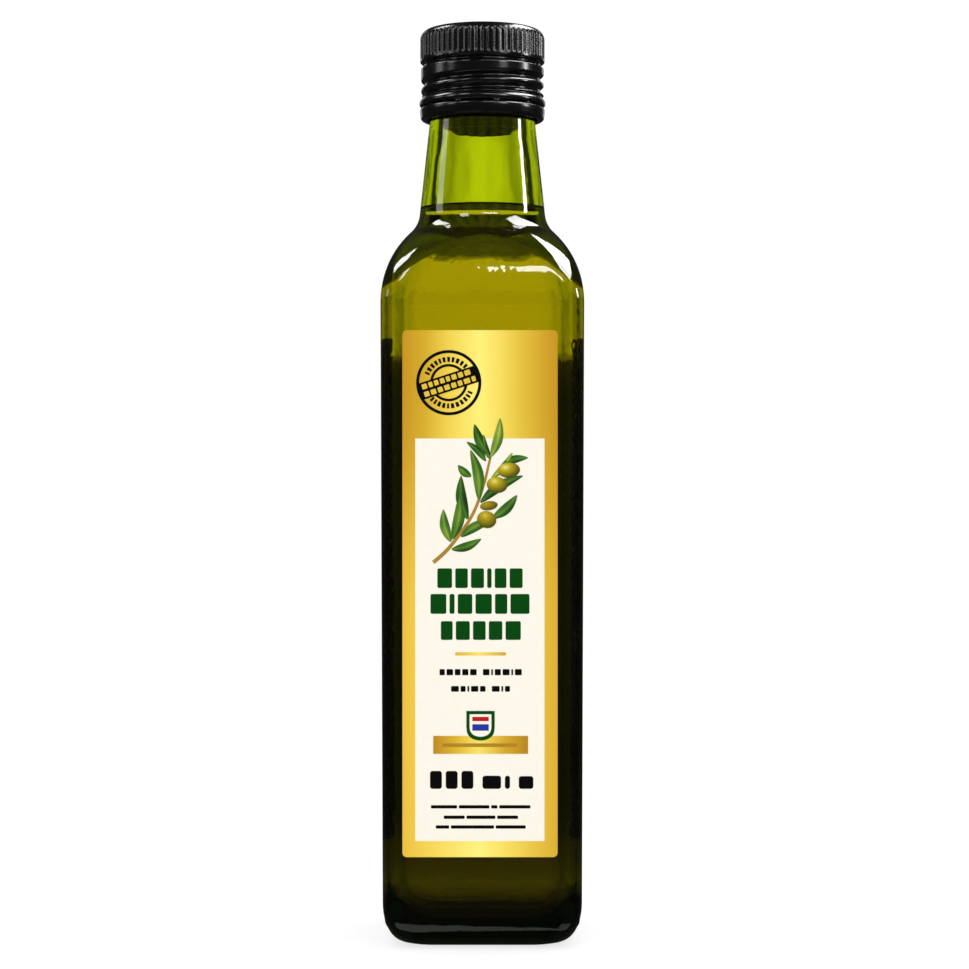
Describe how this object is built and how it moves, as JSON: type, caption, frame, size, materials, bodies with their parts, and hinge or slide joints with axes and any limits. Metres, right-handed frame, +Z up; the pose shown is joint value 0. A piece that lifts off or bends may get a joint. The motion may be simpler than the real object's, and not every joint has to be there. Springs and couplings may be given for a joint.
{
  "type": "olive oil bottle",
  "caption": "Square green glass table oil bottle with domed shoulder and flared neck, filled with olive oil, closed by a black rolled-on screw cap, with plain front and back labels.",
  "frame": {"origin": "middle of the standing ring, on the table", "axes": "+Z up along the bottle, front label towards -Y, +X to the right of someone facing the front label"},
  "size_m": [0.0474, 0.0478, 0.216],
  "materials": {
    "green_glass": "clear green bottle glass, fire polished",
    "olive_oil": "clear yellow-green oil, seen through the glass",
    "black_plastic": "moulded black plastic insert",
    "black_lacquered_metal": "glossy black lacquer on thin rolled aluminium",
    "gold_label": "printed gold label with a cream panel",
    "label_paper": "coated label paper"
  },
  "bodies": {
    "root": {"glass_bottle": "green_glass", "oil": "olive_oil", "pourer": "black_plastic", "screw_cap": "black_lacquered_metal", "front_label": "gold_label", "back_label": "label_paper"}
  },
  "joints": []
}
